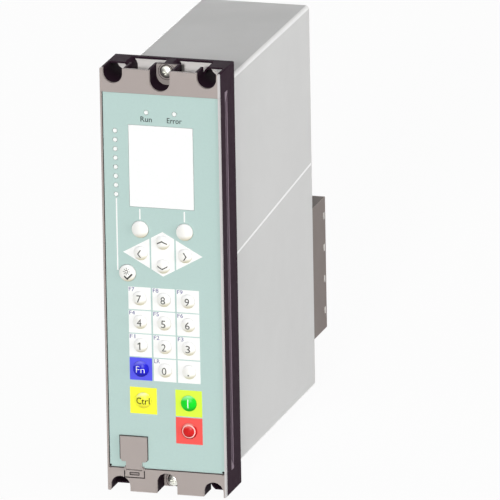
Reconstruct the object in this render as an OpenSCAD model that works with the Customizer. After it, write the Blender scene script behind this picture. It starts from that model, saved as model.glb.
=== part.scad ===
// Protection relay for flush mounting in a switchgear panel: a moulded front with display and
// keypad, a two-part sheet-metal case behind the panel, and wiring terminals on its rear.
// X runs to the right as seen from the front, Y runs into the panel, Z is up.
// The origin is the centre of the plane where the mounting flange seats on the panel.

/* [Bezel] */
// Width of the bezel
front_w = 75; // [74:1:84]
// Height of the bezel
front_h = 266; // [264:1:290]
// Depth of the bezel in front of the panel
front_depth = 32; // [31:0.5:40]
// Height of the bare strip at the top and bottom
strip_h = 15; // [15:0.5:16]
// Thickness of the moulded front plate
plate_t = 2.4; // [2.2:0.1:3]
// Depth from the front to the joint between the two bezel frames
cap_depth = 11.7; // [11:0.1:14]
// Side wall of the bezel frames
side_wall = 3.5; // [3:0.1:4]
// Wall between the electronics space and the open troughs
trough_wall = 2.5; // [2:0.1:3]
// Cheek that closes the end caps to the side
cheek_t = 1.2; // [1:0.1:1.25]
// Depth of the grooves in the bezel sides
groove_depth = 1.6; // [1:0.1:1.9]
// Width of those grooves along the bezel depth
groove_w = 5.3; // [4:0.1:7]
// Space between the groove ends and the top and bottom of the bezel
groove_end = 16; // [15:1:30]
// Spacing of the snap tongues in the grooves
snap_pitch = 33; // [25:1:36]

/* [Screw pockets] */
// Distance of the corner pockets from the bezel side
pocket_edge = 8; // [7.8:0.1:9]
// Radius of the corner pockets
corner_r = 6.25; // [5.5:0.05:6.25]
// Depth of the corner pockets from the bezel edge
corner_reach = 9.3; // [8.5:0.1:10]
// Radius of the middle pockets
middle_r = 6.5; // [6:0.1:6.8]
// Depth of the middle pockets from the bezel edge
middle_reach = 12.9; // [11.5:0.1:13]
// Depth from the front to the screw seats and to the roofs of the corner pockets
pocket_depth = 15.5; // [14:0.1:18]
// Wall around the open front half of the pockets
tube_wall = 1.6; // [1.2:0.1:2]
// Radius of the round back of the corner pockets
boss_r = 8; // [7.6:0.1:8.4]
// Radius of the bosses that the front screws pass through
screw_boss_r = 4.9; // [4.2:0.1:5.5]
// Roof over the rear half of the corner pockets
roof_t = 1; // [0.8:0.1:1.4]
// Radius of the panel screw holes
panel_hole_r = 2.5; // [2.2:0.1:2.8]
// Distance of the panel screw holes from the pocket's middle, towards the bezel's middle
panel_hole_in = 1.35; // [1:0.05:1.6]
// Distance of the panel screw holes from the bezel edge
panel_hole_drop = 5.1; // [4.6:0.1:5.6]

/* [Foil and display] */
// Depth of the recess for the keypad foil
foil_recess = 1; // [0.8:0.1:1.2]
// Thickness of the keypad foil
foil_t = 0.4; // [0.2:0.05:0.5]
// Rim of the front plate beside the foil
foil_rim = 1; // [0.8:0.1:2]
// Width of the display window
window_w = 40.4; // [36:0.2:42]
// Height of the display window
window_h = 51.1; // [46:0.1:52]
// Place of the window centre, as a share of the foil's half height
window_row = 0.616; // [0.61:0.001:0.627]
// Margin of the display module around the window
module_margin = 2.8; // [2.2:0.1:3]

/* [Keys] */
// Radius of the number and arrow keys
small_key_r = 4.3; // [3.8:0.1:4.8]
// Radius of the function, control and switching keys
command_key_r = 4.9; // [4.3:0.1:5.2]
// Radius of the soft keys and the acknowledge key
soft_key_r = 5.2; // [4.5:0.1:5.4]
// Height of a key crown above the foil
key_rise = 2.2; // [1.6:0.1:2.8]
// Straight part of that height
key_edge = 0.5; // [0.3:0.1:0.8]
// Travel of a key
key_travel = 0.6; // [0.3:0.05:0.7]
// Sideways spacing of the number keys
pad_pitch_x = 15.2; // [14.6:0.1:15.8]
// Spacing of the number key rows
pad_pitch_z = 14.85; // [14.5:0.05:15.2]
// Place of the top number row, as a share of the foil's half height
pad_row = -0.089; // [-0.093:0.001:-0.085]
// Sideways distance of the soft keys and side arrows from the middle
arrow_reach = 14; // [13.5:0.1:15]
// Place of the arrow key group, as a share of the foil's half height
arrow_row = 0.1525; // [0.149:0.0005:0.156]
// Distance of the up and down keys from the group centre
arrow_rise = 7.5; // [7:0.1:8]
// Place of the soft keys, as a share of the foil's half height
soft_row = 0.2797; // [0.278:0.0001:0.284]
// Place of the acknowledge key, as a share of the foil's half height
acknowledge_row = 0.0424; // [0.035:0.0001:0.05]
// Distance of the acknowledge key from the side of the foil
acknowledge_edge = 14; // [13:0.1:15]
// Place of the control and close keys, as a share of the foil's half height
command_row = -0.634; // [-0.64:0.001:-0.628]
// Place of the open key, as a share of the foil's half height
open_row = -0.782; // [-0.79:0.001:-0.775]
// Sideways distance of the close and open keys from the middle
switching_x = 14.6; // [14:0.1:15.2]

/* [Lamps] */
// Radius of the lamp lenses
lamp_r = 1.3; // [1:0.05:1.5]
// Number of alarm lamps beside the display
lamp_count = 8; // [4:1:8]
// Spacing of the alarm lamps
lamp_pitch = 5.69; // [5:0.01:5.8]
// Place of the top alarm lamp, as a share of the foil's half height
lamp_row = 0.7966; // [0.79:0.0001:0.805]
// Distance of the alarm lamps from the side of the foil
lamp_edge = 7.8; // [7.5:0.1:8.3]
// Sideways distance of the two status lamps from the middle
status_x = 8.85; // [6:0.05:12]
// Place of the status lamps, as a share of the foil's half height
status_row = 0.9025; // [0.898:0.0005:0.907]

/* [Service port] */
// Distance of the port's middle from the side of the foil
port_edge = 16.05; // [15.5:0.05:17.5]
// Height of the port centre above the bottom strip
port_rise = 12.5; // [12:0.1:13]
// Width of the port flap
flap_w = 16.9; // [16:0.1:18]
// Height of the port flap
flap_h = 15; // [14:0.1:16]
// Width of the flap strap
strap_w = 10.1; // [9:0.1:11]
// Thickness of the flap
flap_t = 1.45; // [1.2:0.05:1.8]
// Radius of the hinge pin
hinge_pin_r = 0.45; // [0.35:0.05:0.5]
// Radius of the hinge barrel
hinge_r = 0.95; // [0.9:0.05:1]

/* [Boards behind the front] */
// Space between the front plate and the front board
board_gap = 5.6; // [5.4:0.1:6.5]
// Thickness of every circuit board
board_t = 1.6; // [1:0.1:2]
// Height of the push switches on the front board
switch_h = 2.3; // [2:0.1:2.4]

/* [Case] */
// Space from the bezel side to the case side
case_side = 2.5; // [2:0.1:3]
// Space from the bezel edge to the top and bottom of the case
case_end = 11; // [10:0.5:14]
// Depth of the case behind the panel
case_d = 168; // [160:1:200]
// Sheet thickness of the case shells
sheet_t = 1.2; // [0.8:0.1:1.6]
// Outer bend radius of the case shells
bend_r = 2.5; // [2:0.1:4]
// Height of the joint between the shells at the front
seam_front = 10; // [0:1:20]
// Height of the joint between the shells at the rear
seam_rear = 22; // [10:1:30]
// Thickness of the mounting flange
flange_t = 1.5; // [1:0.1:2]
// Thickness of the rear panel
rear_t = 1.5; // [1:0.1:2]

/* [Rear wiring] */
// Reach of the cable bracket behind the rear panel
bracket_reach = 28; // [24:1:36]
// Height of the cable bracket
bracket_h = 84; // [82:1:90]
// Spacing of the cable tie slots in the bracket
slot_pitch = 20.2; // [16:0.1:22]
// Number of cable tie slots
slot_count = 4; // [2:1:4]
// Number of measuring current terminals
current_count = 8; // [4:1:8]
// Spacing of the measuring current terminals
current_pitch = 9.5; // [9:0.1:9.7]
// Number of ways in each signal plug
signal_count = 10; // [6:1:10]
// Number of ways in the supply plug
supply_count = 5; // [3:1:5]
// Spacing of the ways in the plugs
plug_pitch = 7.5; // [7:0.1:7.6]
// Radius of the earth stud
earth_r = 2; // [1.5:0.1:3]

/* [Hidden] */
$fn = 64;
// Play between pieces that sit in each other
fit = 0.2;
// Play around the keys and lamp lenses
key_play = 0.25;
// Play of the hinge pin in the flap
hinge_play = 0.05;
// Play of the screws in the sheet-metal holes
screw_play = 0.05;
// Overshoot of a cut past the face that it opens
cut = 1;
// Overlap that joins the shapes of one piece
overlap = 0.5;

// Depth positions, from the front to the rear
y_front = -front_depth;
y_recess = y_front + foil_recess;
y_foil = y_recess - foil_t;
y_plate = y_front + plate_t;
y_cap = y_front + cap_depth;
y_seat = y_front + pocket_depth;
y_board = y_plate + board_gap;
y_board_back = y_board + board_t;
y_flange = -flange_t;
y_rear = case_d + rear_t;

// Heights of the bezel zones
top_z = front_h / 2;
foil_top = top_z - strip_h;
box_z = foil_top + 1;
cavity_z = box_z - trough_wall;
cavity_x = front_w / 2 - side_wall;
foil_x = front_w / 2 - foil_rim;
// Heights and sides of the controls
window_z = window_row * foil_top;
pad_z = pad_row * foil_top;
arrow_z = arrow_row * foil_top;
soft_z = soft_row * foil_top;
acknowledge_z = acknowledge_row * foil_top;
command_z = command_row * foil_top;
open_z = open_row * foil_top;
lamp_z = lamp_row * foil_top;
status_z = status_row * foil_top;
lamp_x = foil_x - lamp_edge;
acknowledge_x = foil_x - acknowledge_edge;
port_x = foil_x - port_edge;
plate_corner = 0.8;
// Joint between the front plate and its end strips, at the ends of the foil recess
joint_w = 0.15;
// Round relief at the lower corners of the foil recess
relief_r = 0.9;
relief_x = foil_x - 1;

// End caps, with the middle of the round back of a corner pocket
floor_t = 2;
boss_wall = 1;
corner_x = front_w / 2 - pocket_edge;
panel_hole_x = corner_x - panel_hole_in;
panel_hole_z = top_z - panel_hole_drop;
boss_x = corner_x + 1.1;
boss_z = top_z - boss_r + 1.5;

// Front screws in the middle pockets
front_screw_r = 1.75;
front_head_r = 3.4;
front_screw_z = top_z - 4.3;
seat_t = 1.7;
y_seat_back = y_seat + seat_t;
// Ring groove of the seat around the screw head
ring_w = 0.7;
ring_depth = 0.8;
// Lip of the rear frame and the end caps around the mounting flange
lip_t = 1.2;
lip_depth = 2;
flange_x = front_w / 2 - lip_t - fit;
flange_z = top_z - lip_t - fit;

// Keys, each with its name, place and radius
collar_w = 0.9;
collar_t = 1;
collar_gap = 0.1;
plunger_r = 1.6;
plunger_gap = 0.1;
NUMBER_KEYS = [
    ["key_7", "key_8", "key_9"],
    ["key_4", "key_5", "key_6"],
    ["key_1", "key_2", "key_3"],
    ["key_function", "key_0", "key_point"],
];
KEYS = concat(
    [for (row = [0:3], col = [0:2])
        [NUMBER_KEYS[row][col], (col - 1) * pad_pitch_x, pad_z - row * pad_pitch_z,
         row == 3 && col == 0 ? command_key_r : small_key_r]],
    [
        ["key_up", 0, arrow_z + arrow_rise, small_key_r],
        ["key_down", 0, arrow_z - arrow_rise, small_key_r],
        ["key_left", -arrow_reach, arrow_z, small_key_r],
        ["key_right", arrow_reach, arrow_z, small_key_r],
        ["soft_key_left", -arrow_reach, soft_z, soft_key_r],
        ["soft_key_right", arrow_reach, soft_z, soft_key_r],
        ["key_acknowledge", -acknowledge_x, acknowledge_z, soft_key_r],
        ["key_control", -arrow_reach, command_z, command_key_r],
        ["key_close", switching_x, command_z, command_key_r],
        ["key_open", switching_x, open_z, command_key_r],
    ]
);
// Crown and body of a key, as heights in front of the front plate's back
key_foil_h = plate_t - foil_recess + foil_t;
key_top_h = key_foil_h + key_rise;
plunger_h = -(board_gap - switch_h - key_travel - plunger_gap);

// Lamps
ALARM_LAMPS = [for (i = [0:lamp_count - 1]) [-lamp_x, lamp_z - i * lamp_pitch]];
STATUS_LAMPS = [for (s = [-1, 1]) [s * status_x, status_z]];
led_size = [1.6, 0.8, 1.6];
guide_bar_w = 3;
guide_bar_t = 1.6;
guide_led_gap = 0.4;

// Display
window_flange = 2;
window_flange_t = 1;
y_module = y_plate + window_flange_t;
module_w = window_w + 2 * module_margin;
module_h = window_h + 2 * module_margin;

// Posts behind the front plate that carry the front board
post_r = 1.8;
peg_r = 1;
peg_h = 0.6;
post_inset = 2.8;
POSTS = [for (s = [-1, 1], z = [-1, -0.34, 0.34, 1])
    [s * (cavity_x - post_inset), z * (cavity_z - 4.5)]];
front_board_x = cavity_x - 1;
front_board_z = cavity_z - 1.5;

// Service port, a square data socket behind the hinged flap
port_z = -foil_top + port_rise;
socket_w = 12;
socket_h = 11;
socket_d = 16;
socket_mouth = [8.45, 7.8];
socket_mouth_d = 9;
socket_chamfer = 2;
tongue = [5.6, 3.2];
// Space around the hinge barrel
barrel_gap = 0.3;
hinge_z = -foil_top - 0.2;
y_hinge = y_front + 0.1;
flap_gap = 0.15;
flap_chamfer = 2.5;
ear_t = 0.8;
anchor_w = strap_w + 2 * (ear_t + fit / 2);
anchor_h = 5.6;
anchor_pocket_d = 1.4;
anchor_drop = 1.4;
anchor_slot = [6.2, 2];
anchor_slot_d = 1;

// Case
case_x = front_w / 2 - case_side;
case_z = front_h / 2 - case_end;
case_w = 2 * case_x;
case_h = 2 * case_z;
inner_x = case_x - sheet_t;
seam_gap = 0.3;
lap_t = 1.1;
lap_h = 6;
lap_inset = 3;
rear_lip_h = 12;
flange_open_x = case_x - 4;
flange_open_z = case_z - 8;

// Screws on the rear panel
rear_screw_r = 1.5;
rear_head_r = 2.8;
rear_head_h = 1.9;
rear_shank = 5;
PANEL_SCREWS = [for (sx = [-1, 1], sz = [-1, 1]) [sx * (case_x - 7), sz * (case_z - 6)]];

// Cable bracket on the right edge of the rear panel
bracket_t = 1.5;
bracket_rise = 114;
bracket_top = -case_z + bracket_rise;
bracket_foot = 9.5;
bracket_flange = 11;
bracket_slot = [2.4, 4.5];
bracket_screw_in = 3.8;
bracket_screw_end = 12;
slot_edge = 2.5;
bracket_foot_x = case_x - bracket_foot;
bracket_mid_z = bracket_top - bracket_h / 2;
BRACKET_SCREWS = [for (s = [-1, 1])
    [bracket_foot_x + bracket_screw_in, bracket_mid_z + s * (bracket_h / 2 - bracket_screw_end)]];

// Measuring current terminals beside the bracket
current_w = 20;
current_base = 6.5;
current_rib = 8;
current_rib_t = 2;
current_neck = 14;
neck_depth = 9;
// Height of a terminal's flange beyond its neck, both ends together
neck_margin = 4;
current_x = bracket_foot_x - 2.5 - current_w / 2;
current_h = current_count * current_pitch + current_rib_t;
clamp_screw_r = 1.75;
clamp_head_r = 3;
clamp_head_h = 2.4;
clamp_shank = 6;
CLAMPS = [for (i = [0:current_count - 1])
    [current_x, bracket_mid_z + (i - (current_count - 1) / 2) * current_pitch]];

// Pluggable terminals
plug_w = 14;
plug_d = 15;
plug_end = 2.5;
plug_neck = 10;
wire_hole = 3.4;
wire_depth = 7;
clamp_well_r = 1.5;
clamp_well_d = 2;
signal_h = signal_count * plug_pitch + 2 * plug_end;
supply_h = supply_count * plug_pitch + 2 * plug_end;
SIGNAL_PLUGS = [for (s = [-1, 1]) [-case_x + 16, -10 + s * (signal_h / 2 + 4)]];
SUPPLY_PLUG = [current_x, 40];

// Network socket
network_w = 16;
network_h = 13.5;
network_d = 19;
network_proud = 1.5;
network_mouth = [11.7, 8.2];
network_mouth_d = 13;
latch_mouth = [6, 2.4];
network_drop = 32;
NETWORK = [current_x, case_z - network_drop];

// Earth stud below the bracket, with a collar outside and its nut inside the rear panel
earth_collar_r = 4;
earth_collar_t = 2;
earth_free = 13;
earth_inner = 5;
earth_nut_af = 7;
earth_nut_h = 3.2;
earth_rise = 18;
EARTH = [current_x, -case_z + earth_rise];

// Boards and components in the case
board_z = case_z - 12;
main_x = -(case_x - 10.6);
power_x = case_x - 15;
main_front = 4;
main_rear_gap = 10;
power_rear_gap = 20;
main_rear = case_d - main_rear_gap;
power_rear = case_d - power_rear_gap;
connector_w = 8.4;
connector_h = 44.8;
connector_slot_d = 6;
y_connector = -8;
bus_h = 40;
y_bus = y_connector - connector_slot_d + 2;
spacer_r = 2.5;
spacer_inset = [26, 20];
spacer_rear = 8;
SPACERS = [for (y = [main_front + spacer_inset[0], power_rear - spacer_rear], s = [-1, 1])
    [y, s * (board_z - spacer_inset[1])]];
transformer = [26, 30, 12];
transformer_pitch = 24;
transformer_y = 111;
transformer_low = -83;
transformer_limb = 6;
coil_r = 8.5;
coil_l = 16;
relay = [15.5, 12.8, 28.5];
relay_pitch = 33;
relay_y = 60;
supply = [22, 30, 36];
supply_at = [95, 58];

// Rectangle with round corners, centred
module rounded_rect(w, h, r) {
    square([w - 2 * r, h], center = true);
    square([w, h - 2 * r], center = true);
    for (sx = [-1, 1], sz = [-1, 1])
        translate([sx * (w / 2 - r), sz * (h / 2 - r)]) circle(r);
}

// Outline in X and Z, extruded from one depth to another
module slab(y0, y1) {
    translate([0, y1, 0]) rotate([90, 0, 0]) linear_extrude(y1 - y0) children();
}

// Outline in Y and Z, extruded across X
module side_slab(x0, x1) {
    translate([x0, 0, 0]) rotate([90, 0, 90]) linear_extrude(x1 - x0) children();
}

// Round pin or hole along Y at a place in X and Z
module rod(at, y0, y1, r) {
    translate([at[0], y0, at[1]]) rotate([-90, 0, 0]) cylinder(h = y1 - y0, r = r);
}

// Box between two corners
module box(low, high) {
    translate(low) cube(high - low);
}

// Copies an outline to the bottom of the front
module top_and_bottom() {
    children();
    mirror([0, 1]) children();
}

// Copies a solid to the other side of the case
module both_sides() {
    children();
    mirror([1, 0, 0]) children();
}

// Pan-head screw along Y with its head towards the front, or towards the rear when turned
module pan_screw(head_r, head_h, shank_r, shank) {
    slot = head_r * 0.3;
    difference() {
        union() {
            intersection() {
                rotate([90, 0, 0]) cylinder(h = head_h, r = head_r);
                translate([0, head_r * 1.1, 0]) sphere(head_r * 1.1 + head_h);
            }
            rotate([-90, 0, 0]) cylinder(h = shank, r = shank_r);
        }
        for (turn = [0, 90])
            rotate([0, turn, 0])
                translate([-head_r * 0.55, -head_h - cut, -slot / 2])
                    cube([head_r * 1.1, head_h * 0.55 + cut, slot]);
    }
}

// U-shaped screw pocket that opens at the top edge
module pocket(x, r, reach) {
    centre_z = top_z - reach + r;
    translate([x, centre_z]) circle(r);
    translate([x - r, centre_z]) square([2 * r, top_z + cut - centre_z]);
}

module corner_pockets(wall = 0) {
    for (s = [-1, 1]) pocket(s * corner_x, corner_r + wall, corner_reach + wall);
}

module middle_pocket(wall = 0) {
    pocket(0, middle_r + wall, middle_reach + wall);
}

// Ring around the electronics that both bezel frames share
module frame_section() {
    difference() {
        square([front_w, 2 * box_z], center = true);
        square([2 * cavity_x, 2 * cavity_z], center = true);
    }
}

// Lip around the mounting flange
module lip_outline() {
    difference() {
        rounded_rect(front_w, front_h, plate_corner);
        square([front_w - 2 * lip_t, front_h - 2 * lip_t], center = true);
    }
}

// Zone of the bezel above the frames
module end_zone() {
    translate([-front_w / 2, box_z]) square([front_w, top_z - box_z]);
}

// Section of an end cap: its floor, its cheeks and the outlines given, within the end of the bezel
module end_section() {
    intersection() {
        end_zone();
        rounded_rect(front_w, front_h, plate_corner);
        union() {
            translate([-front_w / 2, box_z]) square([front_w, floor_t]);
            for (s = [-1, 1])
                translate([s * (front_w - cheek_t) / 2, 0]) square([cheek_t, front_h], center = true);
            children();
        }
    }
}

// Front half of an end cap, with the pockets open to the top
module pocket_tubes() {
    difference() {
        end_section() {
            corner_pockets(tube_wall);
            middle_pocket(tube_wall);
        }
        corner_pockets();
        middle_pocket();
    }
}

// Rear half of an end cap, with the round backs and roofs of the corner pockets and the screw boss
module pocket_backs() {
    difference() {
        end_section() {
            for (s = [0, 1])
                mirror([s, 0]) {
                    translate([boss_x, boss_z]) circle(boss_r);
                    translate([boss_x, top_z - roof_t]) square([front_w / 2 - boss_x, roof_t]);
                }
            translate([0, front_screw_z]) circle(screw_boss_r);
            translate([-screw_boss_r, box_z]) square([2 * screw_boss_r, front_screw_z - box_z]);
        }
        for (s = [0, 1])
            mirror([s, 0])
                intersection() {
                    pocket(corner_x, corner_r, corner_reach);
                    translate([boss_x, boss_z]) circle(boss_r - boss_wall);
                    square([front_w, 2 * (top_z - roof_t)], center = true);
                }
    }
}

// Opening for the socket body, with play
module port_opening(play) {
    translate([-port_x, port_z]) square([socket_w + 2 * play, socket_h + 2 * play], center = true);
}

// Places of every hole that both the foil and the plate have
module control_holes() {
    for (key = KEYS) translate([key[1], key[2]]) circle(key[3] + key_play);
    for (lamp = concat(ALARM_LAMPS, STATUS_LAMPS)) translate(lamp) circle(lamp_r + key_play);
    translate([0, window_z]) square([window_w + 2 * fit, window_h + 2 * fit], center = true);
    port_opening(fit);
}

// Pocket in the bottom strip for the flap's anchor and hinge
module anchor_outline(play) {
    pocket_top = hinge_z + hinge_r + barrel_gap;
    translate([-port_x - anchor_w / 2 - play, hinge_z - anchor_h - play])
        square([anchor_w + 2 * play, pocket_top - hinge_z + anchor_h + play]);
}

// Plate behind the foil, with a separate strip at the top and bottom
module front_plate() {
    color([0.69, 0.655, 0.64])
    difference() {
        slab(y_front, y_plate)
            difference() {
                rounded_rect(front_w, front_h, plate_corner);
                top_and_bottom() {
                    corner_pockets();
                    middle_pocket();
                    translate([-front_w, foil_top]) square([2 * front_w, joint_w]);
                }
                control_holes();
            }
        slab(y_front - cut, y_recess) {
            square([2 * foil_x, 2 * foil_top], center = true);
            for (s = [-1, 1]) translate([s * relief_x, -foil_top]) circle(relief_r);
        }
        slab(y_front - cut, y_front + anchor_pocket_d) anchor_outline(fit / 2);
    }
}

module keypad_foil() {
    color([0.745, 0.84, 0.82])
    slab(y_foil, y_recess)
        difference() {
            square([2 * (foil_x - fit / 2), 2 * (foil_top - fit / 2)], center = true);
            control_holes();
            anchor_outline(fit);
        }
}

module front_frame() {
    color([0.24, 0.19, 0.225]) {
        slab(y_plate, y_cap) frame_section();
        snap_tongues();
    }
}

// Tongues of the front frame that snap over the rear frame in the side grooves
module snap_tongues() {
    tongue_l = 2;
    tongue_w = 3;
    tongue_drop = 0.5;
    x0 = front_w / 2 - groove_depth + fit;
    x1 = front_w / 2 - tongue_drop;
    both_sides()
        for (i = [-3:3])
            box([x0, y_cap - cut, i * snap_pitch - tongue_w / 2],
                [x1, y_cap + tongue_l, i * snap_pitch + tongue_w / 2]);
}

module rear_frame() {
    groove_z = top_z - groove_end;
    color([0.23, 0.18, 0.215])
    difference() {
        union() {
            slab(y_cap, y_flange) frame_section();
            slab(y_flange - lip_depth, 0)
                intersection() {
                    lip_outline();
                    square([front_w, 2 * box_z], center = true);
                }
        }
        both_sides()
            side_slab(front_w / 2 - groove_depth, front_w / 2 + cut)
                polygon([[y_cap - cut, -groove_z + groove_w], [y_cap - cut, groove_z - groove_w],
                         [y_cap, groove_z - groove_w], [y_cap + groove_w, groove_z],
                         [y_cap + groove_w, -groove_z], [y_cap, -groove_z + groove_w]]);
    }
}

// Mouldings at the top and bottom that hold the screw pockets, between the front and the flange
module end_caps() {
    color([0.235, 0.185, 0.22])
    for (s = [0, 1])
        mirror([0, 0, s])
            difference() {
                union() {
                    slab(y_plate, y_seat) pocket_tubes();
                    slab(y_seat, y_flange) pocket_backs();
                    slab(y_seat, y_seat_back + tube_wall) end_section() middle_pocket(tube_wall);
                    slab(y_flange - lip_depth, 0)
                        intersection() {
                            lip_outline();
                            end_zone();
                        }
                }
                slab(y_seat - cut, y_seat_back) middle_pocket();
                rod([0, front_screw_z], y_seat, y_flange + cut, front_screw_r + fit);
            }
}

module screw_seats() {
    ring_inner = front_head_r + fit;
    color([0.69, 0.655, 0.64])
    for (s = [0, 1])
        mirror([0, 0, s])
            difference() {
                slab(y_seat, y_seat_back)
                    intersection() {
                        middle_pocket(-fit / 2);
                        square([front_w, 2 * top_z - fit], center = true);
                    }
                rod([0, front_screw_z], y_seat - cut, y_seat_back + cut, front_screw_r + fit);
                difference() {
                    rod([0, front_screw_z], y_seat - cut, y_seat + ring_depth, ring_inner + ring_w);
                    rod([0, front_screw_z], y_seat - 2 * cut, y_seat + cut, ring_inner);
                }
            }
}

module front_screws() {
    head_h = 2.4;
    color([0.9, 0.9, 0.88])
    for (s = [-1, 1])
        translate([0, y_seat, s * front_screw_z])
            pan_screw(front_head_r, head_h, front_screw_r, -y_seat - fit);
}

module mounting_flange() {
    color([0.95, 0.92, 0.91])
    slab(y_flange, 0)
        difference() {
            rounded_rect(2 * flange_x, 2 * flange_z, 1);
            square([2 * flange_open_x, 2 * flange_open_z], center = true);
            for (sx = [-1, 1], sz = [-1, 1])
                translate([sx * panel_hole_x, sz * panel_hole_z]) circle(panel_hole_r);
            for (s = [-1, 1]) translate([0, s * front_screw_z]) circle(front_screw_r + screw_play);
        }
}

module display_window() {
    color([0.93, 0.95, 0.95])
    translate([0, 0, window_z]) {
        slab(y_foil, y_plate) square([window_w, window_h], center = true);
        slab(y_plate, y_module)
            square([window_w + 2 * window_flange, window_h + 2 * window_flange], center = true);
    }
}

// Metal-framed glass panel with its connector edge on the board
module display_module() {
    glass_drop = 0.6;
    color([0.75, 0.77, 0.78])
    translate([0, 0, window_z])
        difference() {
            slab(y_module, y_board) rounded_rect(module_w, module_h, 1);
            slab(y_module - cut, y_module + glass_drop)
                square([window_w - 2, window_h - 2], center = true);
        }
}

// Clear pins for a row of lamps, joined by a bar against the back of the plate
module light_guide(lamps, bar_w, bar_h, bar_at) {
    color([0.95, 0.95, 0.93]) {
        for (lamp = lamps) rod(lamp, y_foil, y_board - led_size[1] - guide_led_gap, lamp_r);
        translate([bar_at[0], 0, bar_at[1]])
            slab(y_plate, y_plate + guide_bar_t) square([bar_w, bar_h], center = true);
    }
}

module status_light_guide() {
    light_guide(STATUS_LAMPS, 2 * status_x + guide_bar_w, guide_bar_w, [0, STATUS_LAMPS[0][1]]);
}

module alarm_light_guide() {
    row_h = (lamp_count - 1) * lamp_pitch;
    light_guide(ALARM_LAMPS, guide_bar_w, row_h + guide_bar_w, [-lamp_x, lamp_z - row_h / 2]);
}

module leds() {
    color([0.85, 0.9, 0.8])
    for (lamp = concat(ALARM_LAMPS, STATUS_LAMPS))
        translate([lamp[0] - led_size[0] / 2, y_board - led_size[1], lamp[1] - led_size[2] / 2])
            cube(led_size);
}

module front_board() {
    color([0.1, 0.4, 0.2])
    slab(y_board, y_board_back)
        difference() {
            square([2 * front_board_x, 2 * front_board_z], center = true);
            for (post = POSTS) translate(post) circle(peg_r + fit / 2);
            port_opening(fit);
        }
}

module push_switches() {
    body = 6;
    button_r = 1.7;
    button_h = 0.7;
    color([0.2, 0.2, 0.2])
    for (key = KEYS)
        translate([key[1], 0, key[2]]) {
            slab(y_board - switch_h + button_h, y_board) square(body, center = true);
            rod([0, 0], y_board - switch_h, y_board, button_r);
        }
}

// One key: domed crown, round body in the plate, stop collar behind it and switch plunger.
// Built with its height towards the front, then turned to face that way.
module key(at) {
    r = at[3];
    crown = key_rise - key_edge;
    ball_r = (r * r + crown * crown) / (2 * crown);
    translate([at[1], y_plate, at[2]]) rotate([90, 0, 0]) {
        intersection() {
            translate([0, 0, -collar_gap]) cylinder(h = key_top_h + collar_gap, r = r);
            translate([0, 0, key_top_h - ball_r]) sphere(ball_r);
        }
        translate([0, 0, -collar_gap - collar_t]) cylinder(h = collar_t, r = r + collar_w);
        translate([0, 0, plunger_h]) cylinder(h = -plunger_h - collar_gap, r = plunger_r);
    }
}

// Colour of a key by its use
function key_colour(name) =
    name == "key_function" ? [0.1, 0.1, 0.85] :
    name == "key_control" ? [0.98, 0.97, 0.55] :
    name == "key_close" ? [0.05, 0.85, 0.15] :
    name == "key_open" ? [0.85, 0.1, 0.1] : [0.97, 0.97, 0.94];

// Square data socket with a chamfered mouth and a contact tongue
module service_socket() {
    y0 = y_recess;
    color([0.75, 0.76, 0.78])
    translate([-port_x, 0, port_z]) {
        difference() {
            slab(y0, y0 + socket_d) square([socket_w, socket_h], center = true);
            slab(y0 - cut, y0 + socket_mouth_d)
                polygon([[-socket_mouth[0] / 2, -socket_mouth[1] / 2],
                         [socket_mouth[0] / 2, -socket_mouth[1] / 2],
                         [socket_mouth[0] / 2, socket_mouth[1] / 2 - socket_chamfer],
                         [socket_mouth[0] / 2 - socket_chamfer, socket_mouth[1] / 2],
                         [-socket_mouth[0] / 2 + socket_chamfer, socket_mouth[1] / 2],
                         [-socket_mouth[0] / 2, socket_mouth[1] / 2 - socket_chamfer]]);
        }
        slab(y0 + 1, y0 + socket_mouth_d + cut) square(tongue, center = true);
    }
}

// Clip in the bottom strip with two ears that hold the hinge pin
module flap_anchor() {
    y0 = y_front + anchor_pocket_d;
    color([0.66, 0.625, 0.61])
    difference() {
        union() {
            box([-port_x - anchor_w / 2, y_front, hinge_z - anchor_h],
                [-port_x + anchor_w / 2, y0, hinge_z - anchor_drop]);
            for (x0 = [-port_x - anchor_w / 2, -port_x + anchor_w / 2 - ear_t])
                side_slab(x0, x0 + ear_t) {
                    translate([y_hinge, hinge_z]) circle(hinge_r);
                    translate([y_hinge - hinge_r, hinge_z - anchor_drop - overlap])
                        square([y0 - y_hinge + hinge_r, anchor_drop + overlap]);
                }
        }
        translate([-port_x - anchor_w, y_hinge, hinge_z])
            rotate([0, 90, 0]) cylinder(h = 2 * anchor_w, r = hinge_pin_r);
        slab(y_front - cut, y_front + anchor_slot_d)
            translate([-port_x, hinge_z - (anchor_drop + anchor_h) / 2])
                rounded_rect(anchor_slot[0], anchor_slot[1], anchor_slot[1] * 0.45);
    }
}

module flap_hinge_pin() {
    color([0.7, 0.7, 0.72])
    translate([-port_x - anchor_w / 2, y_hinge, hinge_z])
        rotate([0, 90, 0]) cylinder(h = anchor_w, r = hinge_pin_r);
}

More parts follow.
